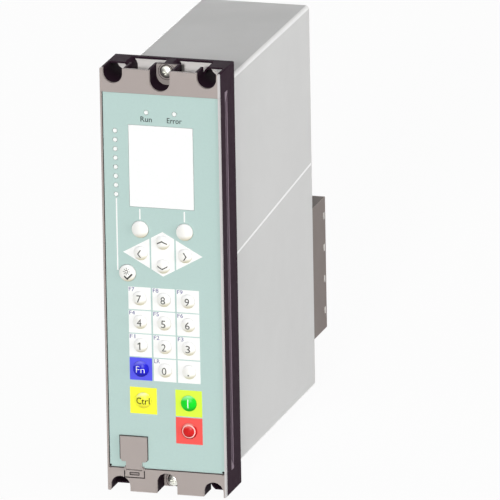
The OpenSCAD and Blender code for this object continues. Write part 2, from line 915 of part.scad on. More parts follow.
// Flap over the service socket, with its strap and hinge barrel
module service_flap() {
    y1 = y_foil - flap_gap;
    flap_low = port_z - flap_h / 2;
    color([0.675, 0.645, 0.63])
    translate([-port_x, 0, 0])
        difference() {
            union() {
                slab(y1 - flap_t, y1) {
                    polygon([[-flap_w / 2, flap_low + flap_chamfer],
                             [-flap_w / 2 + flap_chamfer, flap_low],
                             [flap_w / 2 - flap_chamfer, flap_low],
                             [flap_w / 2, flap_low + flap_chamfer],
                             [flap_w / 2, flap_low + flap_h], [-flap_w / 2, flap_low + flap_h]]);
                    translate([-strap_w / 2, hinge_z]) square([strap_w, flap_low - hinge_z + cut]);
                }
                translate([-strap_w / 2, y_hinge, hinge_z])
                    rotate([0, 90, 0]) cylinder(h = strap_w, r = hinge_r);
            }
            translate([-strap_w, y_hinge, hinge_z])
                rotate([0, 90, 0]) cylinder(h = 2 * strap_w, r = hinge_pin_r + hinge_play);
        }
}

// Height of the joint between the shells at a given depth
function seam_z(y) = seam_front + (seam_rear - seam_front) * y / case_d;

// Band along the joint, between two heights measured from it
module seam_band(y0, y1, low, high) {
    polygon([[y0, seam_z(y0) + low], [y1, seam_z(y1) + low],
             [y1, seam_z(y1) + high], [y0, seam_z(y0) + high]]);
}

// Folded tube of the whole case, before it is parted along the joint
module case_tube() {
    slab(0, case_d)
        difference() {
            rounded_rect(case_w, case_h, bend_r);
            rounded_rect(case_w - 2 * sheet_t, case_h - 2 * sheet_t, bend_r - sheet_t);
        }
}

// Lip folded inwards at the rear end of the upper shell, or of the lower one when mirrored
module rear_lip() {
    difference() {
        box([-inner_x, case_d - sheet_t, case_z - rear_lip_h],
            [inner_x, case_d, case_z - sheet_t / 2]);
        for (screw = PANEL_SCREWS)
            rod(screw, case_d - sheet_t - cut, case_d + cut, rear_screw_r + screw_play);
    }
}

module upper_shell() {
    color([0.74, 0.74, 0.735]) {
        intersection() {
            case_tube();
            side_slab(-case_w, case_w) seam_band(-cut, case_d + cut, seam_gap / 2, case_h);
        }
        rear_lip();
    }
}

// The lower shell has a joggled strip on each side that laps behind the upper shell
module lower_shell() {
    color([0.72, 0.72, 0.715]) {
        intersection() {
            case_tube();
            side_slab(-case_w, case_w) seam_band(-cut, case_d + cut, -case_h, -seam_gap / 2);
        }
        both_sides() {
            side_slab(inner_x - lap_t, inner_x - fit / 2)
                seam_band(lap_inset, case_d - lap_inset, -lap_h, lap_h);
            side_slab(inner_x - lap_t, inner_x + sheet_t / 2)
                seam_band(lap_inset, case_d - lap_inset, -lap_h, -lap_h / 2);
        }
        mirror([0, 0, 1]) rear_lip();
    }
}

module rear_panel() {
    color([0.73, 0.73, 0.725])
    slab(case_d, y_rear)
        difference() {
            rounded_rect(case_w, case_h, bend_r);
            for (at = concat(PANEL_SCREWS, BRACKET_SCREWS))
                translate(at) circle(rear_screw_r + screw_play);
            translate([current_x, bracket_mid_z])
                square([current_neck + 2 * fit, current_h - neck_margin + 2 * fit], center = true);
            for (at = SIGNAL_PLUGS)
                translate(at)
                    square([plug_neck + 2 * fit, signal_h - neck_margin + 2 * fit], center = true);
            translate(SUPPLY_PLUG)
                square([plug_neck + 2 * fit, supply_h - neck_margin + 2 * fit], center = true);
            translate(NETWORK)
                square([network_w + 2 * fit, network_h + 2 * fit], center = true);
            translate(EARTH) circle(earth_r + screw_play);
        }
}

// Screw on the rear side, with its head seated at a given depth
module rear_screw(at, seat_y) {
    translate([at[0], seat_y, at[1]])
        rotate([180, 0, 0]) pan_screw(rear_head_r, rear_head_h, rear_screw_r, rear_shank);
}

module rear_screws() {
    color([0.8, 0.8, 0.8]) {
        for (at = PANEL_SCREWS) rear_screw(at, y_rear);
        for (at = BRACKET_SCREWS) rear_screw(at, y_rear + bracket_t);
    }
}

// Folded bracket: a foot on the rear panel, a side wing with tie slots and a flange at its top
module cable_bracket() {
    low = bracket_top - bracket_h;
    y_end = y_rear + bracket_reach;
    color([0.54, 0.50, 0.485])
    difference() {
        union() {
            box([bracket_foot_x, y_rear, low], [case_x, y_rear + bracket_t, bracket_top]);
            box([case_x - bracket_t, y_rear, low], [case_x, y_end, bracket_top]);
            box([case_x - bracket_flange, y_rear + bracket_t, bracket_top - bracket_t],
                [case_x, y_end, bracket_top]);
        }
        for (at = BRACKET_SCREWS)
            rod(at, y_rear - cut, y_rear + bracket_t + cut, rear_screw_r + screw_play);
        for (i = [0:slot_count - 1])
            side_slab(case_x - bracket_t - cut, case_x + cut)
                translate([y_end - slot_edge - bracket_slot[0] / 2,
                           bracket_mid_z - (i - (slot_count - 1) / 2) * slot_pitch])
                    square(bracket_slot, center = true);
    }
}

// Barrier block for ring lugs: a base with ribs between the clamp screws
module current_terminals() {
    low = bracket_mid_z - current_h / 2;
    color([0.12, 0.12, 0.13])
    difference() {
        union() {
            translate([current_x, 0, bracket_mid_z]) {
                slab(y_rear, y_rear + current_base) rounded_rect(current_w, current_h, 1);
                slab(case_d - neck_depth, y_rear)
                    square([current_neck, current_h - neck_margin], center = true);
            }
            for (i = [0:current_count])
                box([current_x - current_w / 2, y_rear + current_base - cut, low + i * current_pitch],
                    [current_x + current_w / 2, y_rear + current_base + current_rib,
                     low + i * current_pitch + current_rib_t]);
        }
        for (at = CLAMPS)
            rod(at, y_rear + current_base - clamp_shank - overlap, y_rear + current_base + cut,
                clamp_screw_r + screw_play);
    }
}

module clamp_screws() {
    color([0.82, 0.8, 0.72])
    for (at = CLAMPS)
        translate([at[0], y_rear + current_base, at[1]])
            rotate([180, 0, 0]) pan_screw(clamp_head_r, clamp_head_h, clamp_screw_r, clamp_shank);
}

// Plug with one wire hole and one clamp well for each way
module terminal_plug(at, count) {
    h = count * plug_pitch + 2 * plug_end;
    y_end = y_rear + plug_d;
    translate([at[0], 0, at[1]])
        difference() {
            union() {
                slab(y_rear, y_end) rounded_rect(plug_w, h, 1);
                slab(case_d - neck_depth, y_rear) square([plug_neck, h - neck_margin], center = true);
            }
            for (i = [0:count - 1])
                translate([0, 0, (i - (count - 1) / 2) * plug_pitch]) {
                    slab(y_end - wire_depth, y_end + cut)
                        translate([plug_w / 5, 0]) square(wire_hole, center = true);
                    rod([-plug_w / 4, 0], y_end - clamp_well_d, y_end + cut, clamp_well_r);
                }
        }
}

module signal_plugs() {
    color([0.16, 0.17, 0.18])
    for (at = SIGNAL_PLUGS) terminal_plug(at, signal_count);
}

module supply_plug() {
    color([0.16, 0.17, 0.18]) terminal_plug(SUPPLY_PLUG, supply_count);
}

// Shielded network socket with its latch recess
module network_socket() {
    y1 = y_rear + network_proud;
    color([0.78, 0.78, 0.8])
    translate([NETWORK[0], 0, NETWORK[1]])
        difference() {
            slab(y1 - network_d, y1) square([network_w, network_h], center = true);
            slab(y1 - network_mouth_d, y1 + cut) {
                square(network_mouth, center = true);
                translate([0, -network_mouth[1] / 2]) square(latch_mouth, center = true);
            }
        }
}

module earth_stud() {
    color([0.8, 0.72, 0.45]) {
        rod(EARTH, case_d - earth_inner, y_rear + earth_collar_t + earth_free, earth_r);
        rod(EARTH, y_rear, y_rear + earth_collar_t, earth_collar_r);
    }
}

module earth_nut() {
    color([0.8, 0.8, 0.78])
    difference() {
        translate([EARTH[0], case_d, EARTH[1]])
            rotate([90, 0, 0])
                cylinder(h = earth_nut_h, r = earth_nut_af / 2 / cos(30), $fn = 6);
        rod(EARTH, case_d - earth_nut_h - cut, case_d + cut, earth_r + screw_play);
    }
}

// Upright board on the left of the case, with a tongue that reaches through the flange
module main_board() {
    color([0.1, 0.42, 0.22])
    side_slab(main_x - board_t, main_x) {
        translate([main_front, -board_z]) square([main_rear - main_front, 2 * board_z]);
        translate([y_bus, -bus_h / 2]) square([main_front - y_bus + cut, bus_h]);
    }
}

module power_board() {
    color([0.1, 0.38, 0.2])
    side_slab(power_x, power_x + board_t)
        translate([main_front, -board_z]) square([power_rear - main_front, 2 * board_z]);
}

module spacer(x0, x1, at) {
    translate([x0, at[0], at[1]])
        rotate([0, 90, 0]) cylinder(h = x1 - x0, r = spacer_r, $fn = 6);
}

// Spacers of the two boards in the case, and posts with a peg for the front board
module board_spacers() {
    color([0.8, 0.78, 0.7]) {
        for (at = SPACERS) {
            spacer(-inner_x, main_x - board_t, at);
            spacer(power_x + board_t, inner_x, at);
        }
        for (post = POSTS) {
            rod(post, y_plate, y_board, post_r);
            rod(post, y_plate, y_board_back + peg_h, peg_r);
        }
    }
}

// Edge connector on the back of the front board that takes the main board's tongue
module board_connector() {
    color([0.15, 0.15, 0.16])
    difference() {
        translate([main_x - board_t / 2, 0, 0])
            slab(y_board_back, y_connector) square([connector_w, connector_h], center = true);
        box([main_x - board_t - fit, y_connector - connector_slot_d, -bus_h / 2 - fit],
            [main_x + fit, y_connector + cut, bus_h / 2 + fit]);
    }
}

// Measuring transformers on the power board: a closed core around a wound limb
module current_transformers() {
    color([0.35, 0.3, 0.22])
    for (i = [0:3])
        translate([power_x - transformer[0] / 2, transformer_y,
                   transformer_low + i * transformer_pitch]) {
            difference() {
                cube(transformer, center = true);
                for (s = [-1, 1])
                    translate([0, s * (transformer[1] - transformer_limb) / 4, 0])
                        cube([transformer[0] - 2 * transformer_limb,
                              transformer[1] / 2 - 1.5 * transformer_limb,
                              transformer[2] + cut], center = true);
            }
            rotate([0, 90, 0])
                cylinder(h = transformer[0] - 2 * transformer_limb + overlap, r = coil_r, center = true);
        }
}

module output_relays() {
    color([0.2, 0.3, 0.55])
    for (i = [-2:2])
        translate([main_x, relay_y, i * relay_pitch - relay[2] / 2]) cube(relay);
}

// Supply transformer on the power board: bobbin with a laminated core
module supply_transformer() {
    flange = 3;
    color([0.3, 0.27, 0.2])
    translate([power_x - supply[0], supply_at[0], supply_at[1]]) {
        translate([0, -supply[1] / 2, -supply[2] / 2 + flange])
            cube([supply[0], supply[1], supply[2] - 2 * flange]);
        translate([flange, -supply[1] / 2 + flange, -supply[2] / 2])
            cube([supply[0] - 2 * flange, supply[1] - 2 * flange, supply[2]]);
    }
}

front_plate();
keypad_foil();
front_frame();
rear_frame();
end_caps();
screw_seats();
mounting_flange();
front_screws();
display_window();
display_module();
status_light_guide();
alarm_light_guide();
leds();
front_board();
push_switches();
service_socket();
flap_anchor();
flap_hinge_pin();
service_flap();
upper_shell();
lower_shell();
rear_panel();
rear_screws();
cable_bracket();
current_terminals();
clamp_screws();
signal_plugs();
supply_plug();
network_socket();
earth_stud();
earth_nut();
main_board();
power_board();
board_spacers();
board_connector();
current_transformers();
output_relays();
supply_transformer();
for (at = KEYS)
    color(key_colour(at[0])) key(at);
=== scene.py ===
import math
import bmesh
import bpy
from mathutils import Matrix, Vector


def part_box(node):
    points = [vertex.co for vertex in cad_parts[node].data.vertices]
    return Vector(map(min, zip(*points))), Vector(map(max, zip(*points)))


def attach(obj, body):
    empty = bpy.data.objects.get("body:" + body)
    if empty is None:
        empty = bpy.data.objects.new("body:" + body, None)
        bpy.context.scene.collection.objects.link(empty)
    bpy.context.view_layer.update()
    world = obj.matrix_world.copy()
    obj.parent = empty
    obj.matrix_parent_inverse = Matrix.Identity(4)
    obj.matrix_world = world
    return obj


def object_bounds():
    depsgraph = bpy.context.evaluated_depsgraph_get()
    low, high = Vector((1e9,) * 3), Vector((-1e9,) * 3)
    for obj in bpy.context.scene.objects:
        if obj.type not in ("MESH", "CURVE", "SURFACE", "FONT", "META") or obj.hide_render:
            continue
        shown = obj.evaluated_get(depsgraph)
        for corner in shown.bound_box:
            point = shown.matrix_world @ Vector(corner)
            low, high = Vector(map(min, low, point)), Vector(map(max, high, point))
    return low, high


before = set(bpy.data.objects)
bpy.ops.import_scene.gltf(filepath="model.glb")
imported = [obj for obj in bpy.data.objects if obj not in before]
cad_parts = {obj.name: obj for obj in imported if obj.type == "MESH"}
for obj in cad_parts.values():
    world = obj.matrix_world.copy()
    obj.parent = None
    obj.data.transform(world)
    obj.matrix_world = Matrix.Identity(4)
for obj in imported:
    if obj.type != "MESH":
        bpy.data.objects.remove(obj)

cad_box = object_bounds()

# Case shells: an upper and a lower shell of folded sheet steel with a pale grey powder coat.
# They lap along a sloping joint on both sides, drawn as a thin white strip of painted highlight. The bends
# carry a painted highlight too, a paler colour set by the slope of the surface.
mm = 0.001
case_grey = (212, 212, 211)
bend_highlight_white = (250, 250, 249)
seam_highlight_white = (255, 255, 255)
seam_w, seam_t, seam_short = 1.5, 0.06, 0.2
skin_near, end_near = 0.05, 2


def linear(srgb):
    """Written colour, 0 to 255, as the linear colour that a shader takes, by the sRGB curve."""
    return tuple(c / 3294.6 if c <= 10 else ((c / 255 + 0.055) / 1.055) ** 2.4 for c in srgb) + (1.0,)


def shaded(colour, factor):
    """Linear colour made deeper or paler by a factor."""
    return tuple(min(1, c * factor) for c in colour[:3]) + (1.0,)


def new_material(name):
    """Node material with a Principled shader, its node tree and Object coordinates."""
    material = bpy.data.materials.new(name)
    material.use_nodes = True
    tree = material.node_tree
    shader = tree.nodes["Principled BSDF"]
    where = tree.nodes.new("ShaderNodeTexCoord")
    return material, tree, shader, where.outputs["Object"]


def noise(tree, where, scale, detail=3.0):
    """Noise of a given scale per metre."""
    texture = tree.nodes.new("ShaderNodeTexNoise")
    texture.inputs["Scale"].default_value = scale
    texture.inputs["Detail"].default_value = detail
    tree.links.new(where, texture.inputs["Vector"])
    return texture.outputs["Fac"]


def between(tree, value, low, high, start=0.3, end=0.7):
    """A value, such as a noise, spread between two ends."""
    spread = tree.nodes.new("ShaderNodeMapRange")
    spread.inputs["From Min"].default_value = start
    spread.inputs["From Max"].default_value = end
    spread.inputs["To Min"].default_value = low
    spread.inputs["To Max"].default_value = high
    tree.links.new(value, spread.inputs["Value"])
    return spread.outputs["Result"]


def fill(tree, socket, value):
    """Links a socket to another one, or gives it a plain number or colour."""
    if isinstance(value, bpy.types.NodeSocket):
        tree.links.new(value, socket)
    else:
        socket.default_value = value


def calc(tree, operation, *values):
    """Math node on sockets and plain numbers."""
    node = tree.nodes.new("ShaderNodeMath")
    node.operation = operation
    for value, socket in zip(values, node.inputs):
        fill(tree, socket, value)
    return node.outputs["Value"]


def colour_mix(tree, share, first, second):
    """Colour between two others, each a linear colour or a socket."""
    mix = tree.nodes.new("ShaderNodeMix")
    mix.data_type = "RGBA"
    share_in, first_in, second_in = mix.inputs[0], mix.inputs[6], mix.inputs[7]
    fill(tree, share_in, share)
    fill(tree, first_in, first)
    fill(tree, second_in, second)
    return mix.outputs[2]


def tint(tree, shader, value, colour, drift):
    """Base colour that drifts a little to both sides of the written one."""
    base = linear(colour)
    mixed = colour_mix(tree, between(tree, value, 0, 1), shaded(base, 1 - drift), shaded(base, 1 + drift))
    tree.links.new(mixed, shader.inputs["Base Color"])


def recolour(tree, mask, colour):
    """Another colour where a mask is one, over the base colour that the shader has."""
    base = tree.nodes["Principled BSDF"].inputs["Base Color"]
    tree.links.new(colour_mix(tree, mask, base.links[0].from_socket, linear(colour)), base)


def sheen(tree, shader, value, low, high):
    """Roughness that wanders between two ends."""
    tree.links.new(between(tree, value, low, high), shader.inputs["Roughness"])


def relief(tree, shader, value, strength, depth):
    """Surface relief of a given depth in metres."""
    bump = tree.nodes.new("ShaderNodeBump")
    bump.inputs["Strength"].default_value = strength
    bump.inputs["Distance"].default_value = depth
    tree.links.new(value, bump.inputs["Height"])
    tree.links.new(bump.outputs["Normal"], shader.inputs["Normal"])


def coated_steel(name, colour, roughness=0.5, shine=0.25):
    """Sheet steel with a powder coat: a fine peel and a faint cloudiness."""
    material, tree, shader, where = new_material(name)
    tint(tree, shader, noise(tree, where, scale=14), colour, drift=0.02)
    sheen(tree, shader, noise(tree, where, scale=60), roughness - 0.06, roughness + 0.06)
    relief(tree, shader, noise(tree, where, scale=900, detail=2), strength=0.02, depth=0.1 * mm)
    shader.inputs["Specular IOR Level"].default_value = shine
    return material


def axes_of(tree, vector):
    """The three parts of a normal or a place."""
    axes = tree.nodes.new("ShaderNodeSeparateXYZ")
    tree.links.new(vector, axes.inputs["Vector"])
    return axes.outputs


def bright_bends(material, colour):
    """Painted highlight: a paler colour on the bends between the sides and the top or bottom, set by the
    slope of the surface.
    """
    tree = material.node_tree
    normal = axes_of(tree, tree.nodes.new("ShaderNodeNewGeometry").outputs["Normal"])
    lean = calc(tree, "ABSOLUTE", calc(tree, "MULTIPLY", normal["X"], normal["Z"]))
    recolour(tree, between(tree, lean, 0, 1, start=0.08, end=0.3), colour)


def dress(material, *nodes):
    """Gives CAD nodes a finish."""
    for name in nodes:
        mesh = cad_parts[name].data
        mesh.materials.clear()
        mesh.materials.append(material)


def add_piece(name, bm, material, body):
    """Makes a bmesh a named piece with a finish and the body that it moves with."""
    mesh = bpy.data.meshes.new(name)
    bm.to_mesh(mesh)
    bm.free()
    mesh.materials.append(material)
    piece = bpy.data.objects.new(name, mesh)
    bpy.context.scene.collection.objects.link(piece)
    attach(piece, body)


case_coat = coated_steel("case_coat", case_grey)
# Painted highlight on the bends of the case.
bright_bends(case_coat, bend_highlight_white)
dress(case_coat, "upper_shell", "lower_shell")
shell_low, shell_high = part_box("upper_shell")
shell_points = [v.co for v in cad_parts["upper_shell"].data.vertices]
skin = [p for p in shell_points if p.x > shell_high.x - skin_near * mm]
seam_ends = [Vector((0, y, min(p.z for p in skin if abs(p.y - y) < end_near * mm)))
             for y in (min(p.y for p in skin), max(p.y for p in skin))]
seam = seam_ends[1] - seam_ends[0]
# Painted highlight: a thin white strip on each side along the joint.
bm = bmesh.new()
for side in (shell_low.x, shell_high.x):
    middle = (seam_ends[0] + seam_ends[1]) / 2 + Vector((side, 0, -seam_w / 2 * mm))
    bmesh.ops.create_cube(bm, size=1, matrix=Matrix.Translation(middle)
                          @ Matrix.Rotation(math.atan2(seam.z, seam.y), 4, "X")
                          @ Matrix.Diagonal((seam_t * mm, seam.length - seam_short * mm, seam_w * mm, 1)))
add_piece("seam_highlight_strips", bm, coated_steel("seam_highlight", seam_highlight_white, roughness=0.6), "relay")

# Boards in the case: two upright circuit boards on brass spacers, with the measuring transformers,
# the output relays and the supply transformer soldered to them.
mask_green = (30, 104, 58)
brass_yellow = (205, 180, 110)
relay_shell = (52, 78, 140)
varnish_brown = (92, 76, 52)


def circuit_board(name):
    """Solder mask over copper tracks: tracks show as slightly lighter bands."""
    material, tree, shader, where = new_material(name)
    base = linear(mask_green)
    track = tree.nodes.new("ShaderNodeTexBrick")
    track.inputs["Scale"].default_value = 120
    track.inputs["Mortar Size"].default_value = 0.03
    track.inputs["Color1"].default_value = base
    track.inputs["Color2"].default_value = shaded(base, 0.85)
    track.inputs["Mortar"].default_value = shaded(base, 1.6)
    tree.links.new(where, track.inputs["Vector"])
    tree.links.new(track.outputs["Color"], shader.inputs["Base Color"])
    sheen(tree, shader, noise(tree, where, scale=400), 0.3, 0.45)
    return material


def bright_metal(name, colour, roughness=0.3):
    """Plated or bare metal with fine drawing marks."""
    material, tree, shader, where = new_material(name)
    tint(tree, shader, noise(tree, where, scale=90), colour, drift=0.04)
    marks = noise(tree, where, scale=1500, detail=2)
    sheen(tree, shader, marks, roughness - 0.08, roughness + 0.1)
    relief(tree, shader, marks, strength=0.05, depth=0.05 * mm)
    shader.inputs["Metallic"].default_value = 1.0
    return material


def moulded(name, colour, roughness=0.5, grain=2600, grain_relief=0.12, drift=0.025, shine=0.2):
    """Moulded plastic with the fine eroded grain of its mould."""
    material, tree, shader, where = new_material(name)
    tint(tree, shader, noise(tree, where, scale=25), colour, drift)
    sheen(tree, shader, noise(tree, where, scale=300), roughness - 0.05, roughness + 0.05)
    relief(tree, shader, noise(tree, where, scale=grain, detail=4), grain_relief, depth=0.05 * mm)
    shader.inputs["Specular IOR Level"].default_value = shine
    return material


dress(circuit_board("solder_mask"), "main_board", "power_board", "front_board")
dress(bright_metal("brass", brass_yellow), "board_spacers", "earth_stud")
dress(moulded("relay_shell", relay_shell, roughness=0.45), "output_relays")
winding_varnish = moulded("winding_varnish", varnish_brown, roughness=0.4, grain=1800)
dress(winding_varnish, "current_transformers", "supply_transformer")

# Rear panel: a flat sheet that closes the case, coated as the shells are.
# Zinc-plated pan-head screws hold it to the lips of the shells, and hold the cable bracket.
zinc_grey = (214, 214, 210)
zinc = bright_metal("zinc_plate", zinc_grey, roughness=0.35)
dress(case_coat, "rear_panel")
dress(zinc, "rear_screws", "clamp_screws", "earth_nut", "flap_hinge_pin")

# Rear terminals: a barrier block for the measuring currents, and pluggable blocks for the signals
# and the supply, all moulded in black. The network socket has a nickel-plated shield.
terminal_black = (38, 38, 41)
nickel_grey = (196, 198, 203)
terminal_edge = 0.3
weld_near = 0.001


def soften(width, *nodes):
    """Rounds the sharp edges of CAD nodes, as a mould or a press leaves them."""
    for name in nodes:
        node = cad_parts[name]
        node.modifiers.new("weld", "WELD").merge_threshold = weld_near * mm
        flat = node.modifiers.new("flat_faces", "DECIMATE")
        flat.decimate_type = "DISSOLVE"
        flat.angle_limit = math.radians(1)
        edge = node.modifiers.new("soft_edges", "BEVEL")
        edge.width = width * mm
        edge.segments = 2
        edge.limit_method = "ANGLE"
        edge.angle_limit = math.radians(35)


terminal_plastic = moulded("terminal_plastic", terminal_black, roughness=0.45)
nickel = bright_metal("nickel_plate", nickel_grey, roughness=0.28)
dress(terminal_plastic, "current_terminals", "signal_plugs", "supply_plug", "board_connector")
dress(nickel, "network_socket", "service_socket")
soften(terminal_edge, "current_terminals", "signal_plugs", "supply_plug")

# Cable bracket: a folded steel sheet on the right edge of the rear panel, with slots for cable ties.
# It is coated in a darker grey than the case, with a painted highlight on the bend and near-white painted
# light on the cut edges past the foot.
bracket_grey = (134, 125, 121)
bend_highlight_grey = (206, 198, 192)
cut_edge_painted_light = (255, 253, 248)
foot_t = 1.5
bracket_edge = 0.4


def place_along(tree, axis):
    """Place on the object along an axis, in metres."""
    return axes_of(tree, tree.nodes["Texture Coordinate"].outputs["Object"])[axis]


bracket_coat = coated_steel("bracket_coat", bracket_grey, shine=0.03)
bright_bends(bracket_coat, bend_highlight_grey)
# Painted light: the cut faces past the foot, such as the slot walls, are near white.
tree = bracket_coat.node_tree
facing = axes_of(tree, tree.nodes.new("ShaderNodeNewGeometry").outputs["Normal"])["Y"]
foot_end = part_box("cable_bracket")[0].y + 2 * foot_t * mm
past_foot = calc(tree, "GREATER_THAN", place_along(tree, "Y"), foot_end)
cut_face = between(tree, calc(tree, "ABSOLUTE", facing), 0, 1, start=0.3, end=0.6)
recolour(tree, calc(tree, "MULTIPLY", past_foot, cut_face), cut_edge_painted_light)
dress(bracket_coat, "cable_bracket")
soften(bracket_edge, "cable_bracket")

# Mounting flange: a pale coated steel frame that carries the bezel and seats on the panel.
# It shows between the bosses and at the bottom of the corner pockets.
flange_white = (255, 249, 246)
dress(coated_steel("flange_coat", flange_white), "mounting_flange")

# Bezel frames and end caps: deep mouldings in a dark plum plastic that snap together along the sides.
# A band over each side groove is painted paler than the faces beside it: painted light on the groove's
# shaded wall.
plum = (46, 30, 41)
groove_painted_light = (142, 127, 138)
groove_w, groove_past = 5.3, 0.05
frame_edge = 0.25


def plum_plastic(name):
    """Dark moulded plastic with hardly any shine."""
    return moulded(name, plum, roughness=0.55, grain=2200, grain_relief=0.1, drift=0.05, shine=0.02)


groove_plastic = plum_plastic("groove_plastic")
# Painted light: a paler band over the groove, set by depth along Y.
tree = groove_plastic.node_tree
groove_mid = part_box("rear_frame")[0].y + groove_w / 2 * mm
groove_reach = groove_w / 2 * mm + groove_past * mm
recolour(tree, calc(tree, "COMPARE", place_along(tree, "Y"), groove_mid, groove_reach), groove_painted_light)
dress(plum_plastic("frame_plastic"), "end_caps")
dress(groove_plastic, "front_frame", "rear_frame")
soften(frame_edge, "end_caps", "front_frame", "rear_frame")

# Front screws: pan-head screws in the middle pockets that draw the bezel onto the flange.
# Each stands on a taupe seat pressed into its pocket.
taupe = (172, 162, 158)
screw_white = (240, 240, 232)
bezel_plastic = moulded("bezel_plastic", taupe)
dress(bright_metal("front_screw_zinc", screw_white, roughness=0.45), "front_screws")
dress(bezel_plastic, "screw_seats")

# Front electronics: display module, push switches and lamps on the front board.
# They are bought-in components that the front plate hides.
glass_grey = (190, 196, 198)
switch_black = (52, 52, 52)
led_clear = (225, 232, 210)
dress(moulded("module_glass", glass_grey, roughness=0.2, grain=1200, grain_relief=0.02), "display_module")
dress(moulded("switch_plastic", switch_black), "push_switches")
dress(moulded("led_resin", led_clear, roughness=0.25, grain=1500, grain_relief=0.03), "leds")

# Front plate: the taupe moulded face of the bezel, with a recess for the foil and a hole for each key, lamp
# and socket. A strip with the screw pockets closes each end. Its right rim carries a painted highlight, a
# paler colour set by place.
rim_painted_highlight = (204, 201, 201)
rim_w = 1.0
plate_edge = 0.45
plate_plastic = moulded("plate_plastic", taupe)
# Painted highlight: a paler colour on the last millimetre of the right side.
tree = plate_plastic.node_tree
rim_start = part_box("front_plate")[1].x - rim_w * mm
recolour(tree, calc(tree, "GREATER_THAN", place_along(tree, "X"), rim_start), rim_painted_highlight)
dress(plate_plastic, "front_plate")
soften(plate_edge, "front_plate")

# Keypad foil: a satin film in pale mint, glued into the recess of the front plate.
# Fields and legends are screen printed on it.
mint = (185, 209, 204)


def film(name, colour, roughness=0.42):
    """Satin film or an ink layer on it: even colour with a faint speckle of the screen."""
    material, tree, shader, where = new_material(name)
    tint(tree, shader, noise(tree, where, scale=700, detail=2), colour, drift=0.012)
    sheen(tree, shader, noise(tree, where, scale=120), roughness - 0.04, roughness + 0.05)
    relief(tree, shader, noise(tree, where, scale=3500, detail=2), strength=0.05, depth=0.02 * mm)
    shader.inputs["Specular IOR Level"].default_value = 0.2
    return material


dress(film("mint_film", mint), "keypad_foil")

# Printed fields: white cells around the number keys, a white rhombus around the arrows, white lead
# lines, and coloured fields around the function, control and switching keys.
# Each is a thin layer of ink, screen printed on the foil with a hole for its key.
ink_t, ink_sink = 0.05, 0.01
print_white = (252, 252, 250)
print_blue = (92, 92, 240)
print_yellow = (255, 255, 64)
print_lime = (226, 255, 72)
print_red = (250, 92, 86)
cell = 14.2
key_clear, collar_w = 0.12, 0.9
foil_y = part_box("keypad_foil")[0].y


def key_place(name):
    """Middle of a key, in X and Z, and the radius of its crown, in millimetres."""
    low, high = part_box(name)
    middle = (low + high) / 2 / mm
    return middle.x, middle.z, (high.x - low.x) / 2 / mm - collar_w


def closed_line(curve, points):
    """Adds a straight-sided closed outline to a flat curve."""
    spline = curve.splines.new("POLY")
    spline.points.add(len(points) - 1)
    for point, (x, z) in zip(spline.points, points):
        point.co = (x * mm, z * mm, 0, 1)
    spline.use_cyclic_u = True


def closed_circle(curve, x, z, r):
    """Adds a circle to a flat curve."""
    spline = curve.splines.new("BEZIER")
    spline.bezier_points.add(3)
    for point, (dx, dz) in zip(spline.bezier_points, ((r, 0), (0, r), (-r, 0), (0, -r))):
        point.co = ((x + dx) * mm, (z + dz) * mm, 0)
        point.handle_left_type = point.handle_right_type = "AUTO"
    spline.use_cyclic_u = True


def rectangle(curve, x, z, w, h):
    """Adds a rectangle around a middle to a flat curve."""
    closed_line(curve, [(x - w / 2, z - h / 2), (x + w / 2, z - h / 2),
                        (x + w / 2, z + h / 2), (x - w / 2, z + h / 2)])


def key_hole(curve, key):
    """Leaves a flat curve open around the crown of a key."""
    x, z, r = key_place(key)
    closed_circle(curve, x, z, r + key_clear)


def flat_curve(name):
    """Empty flat curve that fills its outlines and leaves its inner outlines open."""
    curve = bpy.data.curves.new(name, "CURVE")
    curve.dimensions = "2D"
    curve.fill_mode = "BOTH"
    curve.resolution_u = 12
    return curve


def ink_mesh(curve, thickness=ink_t):
    """Mesh of a flat curve or text, standing in X and Z and facing the front, its back at Y zero."""
    curve.extrude = thickness * mm / 2
    maker = bpy.data.objects.new(curve.name, curve)
    bpy.context.scene.collection.objects.link(maker)
    ready = maker.evaluated_get(bpy.context.evaluated_depsgraph_get())
    mesh = bpy.data.meshes.new_from_object(ready)
    bpy.data.objects.remove(maker)
    mesh.transform(Matrix.Rotation(math.pi / 2, 4, "X"))
    mesh.transform(Matrix.Translation((0, -thickness * mm / 2, 0)))
    return mesh


def joined(meshes):
    """One bmesh of several meshes, with their doubled vertices merged."""
    bm = bmesh.new()
    for mesh in meshes:
        bm.from_mesh(mesh)
    bmesh.ops.remove_doubles(bm, verts=bm.verts, dist=weld_near * mm)
    return bm


def printed(name, meshes, y, ink, body="relay"):
    """Joins ink meshes into one piece whose back lies just under the surface at a depth."""
    bm = joined(meshes)
    bmesh.ops.translate(bm, verts=bm.verts, vec=(0, y + ink_sink * mm, 0))
    bmesh.ops.recalc_face_normals(bm, faces=bm.faces)
    add_piece(name, bm, ink, body)


white = flat_curve("white_print")
number_keys = [f"key_{n}" for n in (7, 8, 9, 4, 5, 6, 1, 2, 3, 0)] + ["key_point"]
for key in number_keys:
    x, z, _ = key_place(key)
    rectangle(white, x, z, cell, cell)
    key_hole(white, key)

arrow_x, arrow_z = 0.0, 18.2
rhombus_w, rhombus_h = 25.0, 14.0
split_in, split_out = 7.3, 8.3
edge_in = rhombus_h * (1 - split_in / rhombus_w)
edge_out = rhombus_h * (1 - split_out / rhombus_w)
closed_line(white, [(arrow_x + x, arrow_z + z) for x, z in (
    (-split_in, -edge_in), (0, -rhombus_h), (split_in, -edge_in),
    (split_in, edge_in), (0, rhombus_h), (-split_in, edge_in))])
for side in (-1, 1):
    closed_line(white, [(arrow_x + side * x, arrow_z + z) for x, z in (
        (split_out, -edge_out), (rhombus_w, 0), (split_out, edge_out))])
for key in ("key_up", "key_down", "key_left", "key_right"):
    key_hole(white, key)

